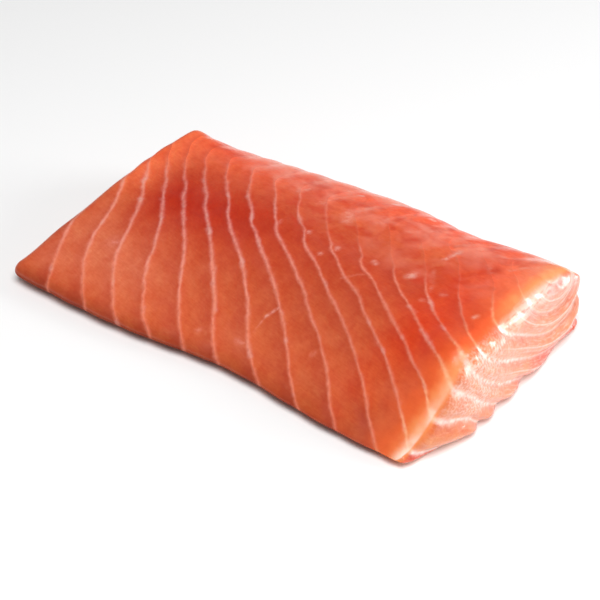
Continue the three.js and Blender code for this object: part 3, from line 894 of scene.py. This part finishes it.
smears = add(skin, "ShaderNodeMapRange", {"Value": smears, "From Min": 0.4, "From Max": 0.56,
                                          "To Min": 0.0, "To Max": 0.6})
smears = add(skin, "ShaderNodeMath", {0: smears, 1: held["smear"]}, operation="MULTIPLY")
torn_rim_and_highlight = add(skin, "ShaderNodeMath", {0: torn_rim_and_highlight, 1: smears}, operation="MAXIMUM")
colour = add(skin, "ShaderNodeMix", {"Factor": torn_rim_and_highlight, "A": colour, "B": paint("#fce6d8")}, "Result",
             data_type="RGBA")
skin.links.new(colour, shader.inputs["Base Color"])

# The wet film is uneven: finely pitted on the top, and more so on the right cut.
PIT_SIZE = 1.4
PIT_DEPTH = 0.5
GLOSS_SIZE = 3.0
film = add(skin, "ShaderNodeTexNoise", {"Vector": here, "Scale": spots(PIT_SIZE), "Detail": 2.0})
film = add(skin, "ShaderNodeBump", {"Height": film, "Strength": held["wet"], "Distance": PIT_DEPTH * MM})
skin.links.new(film, shader.inputs["Normal"])
skin.links.new(film, shader.inputs["Coat Normal"])
gloss = add(skin, "ShaderNodeTexNoise", {"Vector": here, "Scale": spots(GLOSS_SIZE), "Detail": 2.0})
gloss = add(skin, "ShaderNodeMapRange", {"Value": gloss, "From Min": 0.3, "From Max": 0.7,
                                         "To Min": 0.28, "To Max": 0.46})
gloss = add(skin, "ShaderNodeMix", {"Factor": held["dull_and_shaded"], "A": gloss, "B": 0.9}, "Result")
skin.links.new(gloss, shader.inputs["Roughness"])
skin.links.new(held["gleam"], shader.inputs["Coat Weight"])

# Flesh is mostly water, and bends light a little more than water does. Red light spreads over about 2 mm
# in it, and green and blue over much less.
LIGHT_REACH = 2.0
shader.inputs["IOR"].default_value = 1.35
shader.inputs["Subsurface Weight"].default_value = 0.4
shader.inputs["Subsurface Radius"].default_value = (1.0, 0.35, 0.2)
shader.inputs["Subsurface Scale"].default_value = LIGHT_REACH * MM
shader.inputs["Coat Roughness"].default_value = 0.06

raw_cut = bpy.data.objects.new("raw_cut", smooth_cut)
bpy.context.scene.collection.objects.link(raw_cut)
modifier = raw_cut.modifiers.new("blocks", "NODES")
modifier.node_group = blocks
for item in blocks.interface.items_tree:
    if item.in_out == "INPUT" and item.name in BLOCK_INPUTS:
        modifier[item.identifier] = BLOCK_INPUTS[item.name]
    if item.in_out == "INPUT" and item.name == "Flesh":
        modifier[item.identifier] = flesh
bpy.context.view_layer.update()
graph = bpy.context.evaluated_depsgraph_get()
finished = bpy.data.meshes.new_from_object(
    raw_cut.evaluated_get(graph), preserve_all_data_layers=True, depsgraph=graph)
bpy.data.objects.remove(raw_cut)

# The finished mesh goes where the frame has the fillet: the middles of both boxes meet, and it stands on
# the same base.
low, high = (np.array(corner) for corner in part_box("fillet"))
places = np.empty(len(finished.vertices) * 3, np.float32)
finished.vertices.foreach_get("co", places)
places = places.reshape(-1, 3)
into_frame = (low + high) / 2 - (places.min(0) + places.max(0)) / 2
into_frame[2] = low[2] - places[:, 2].min()
finished.vertices.foreach_set("co", (places + into_frame).astype(np.float32).ravel())
finished.update()

fillet = bpy.data.objects.new("salmon_fillet", finished)
bpy.context.scene.collection.objects.link(fillet)
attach(fillet, "root")
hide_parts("fillet")

# ---------------------------------------------------------------------------------------------------
# The floor is a plain pale sheet of matt paper, which shows soft shadows and no gloss. The light is soft:
# a large softbox overhead, a smaller window low beyond the right cut, and a dim sky all round.
# ---------------------------------------------------------------------------------------------------

FLOOR_SIZE = 6.0
floor_mesh = mesh_of("floor", np.array([[-1, -1, 0], [1, -1, 0], [1, 1, 0], [-1, 1, 0]]) * FLOOR_SIZE / 2,
                     np.array([[0, 1, 2, 3]]))
floor = bpy.data.objects.new("floor", floor_mesh)
bpy.context.scene.collection.objects.link(floor)
paper = bpy.data.materials.new("matt_white_paper")
paper.use_nodes = True
paper.node_tree.nodes["Principled BSDF"].inputs["Base Color"].default_value = paint("#f4f4f4")
paper.node_tree.nodes["Principled BSDF"].inputs["Roughness"].default_value = 0.8
floor_mesh.materials.append(paper)

scene = bpy.context.scene
scene.view_settings.view_transform = "Standard"
sky = bpy.data.worlds.new("soft_sky")
sky.use_nodes = True
sky.node_tree.nodes["Background"].inputs["Color"].default_value = paint("#ffffff")
sky.node_tree.nodes["Background"].inputs["Strength"].default_value = 0.22
scene.world = sky


def softbox(name, place, aim, width, height, power):
    """A flat light of that size in metres and power in watts, which faces the point that it aims at."""
    light = bpy.data.lights.new(name, "AREA")
    light.shape = "RECTANGLE"
    light.size = width
    light.size_y = height
    light.energy = power
    lamp = bpy.data.objects.new(name, light)
    lamp.location = place
    lamp.rotation_euler = (Vector(aim) - Vector(place)).to_track_quat("-Z", "Y").to_euler()
    scene.collection.objects.link(lamp)


softbox("window", place=(0.77, 0.53, 0.28), aim=(0.08, 0.0, 0.03), width=0.4, height=0.5, power=5.4)
softbox("ceiling_lamp", place=(0.32, -0.28, 1.04), aim=(0.0, 0.0, 0.01), width=0.7, height=0.7, power=12.5)

# The camera looks at the piece from the right of its belly edge and from above. Its distance and the
# point that it aims at are in millimetres.
AZIMUTH = math.radians(36.04)
ELEVATION = math.radians(38.0)
DISTANCE = 501.34
AIM = Vector((5.07, 46.94, 0.0))
view_from = Vector((math.sin(AZIMUTH) * math.cos(ELEVATION), -math.cos(AZIMUTH) * math.cos(ELEVATION),
                    math.sin(ELEVATION)))
lens = bpy.data.cameras.new("camera")
lens.lens = 90.0
lens.sensor_width = 36.0
camera = bpy.data.objects.new("camera", lens)
camera.location = (AIM + view_from * DISTANCE) * MM + Vector((into_frame[0], into_frame[1], 0))
camera.rotation_euler = view_from.to_track_quat("Z", "Y").to_euler()
scene.collection.objects.link(camera)
scene.camera = camera
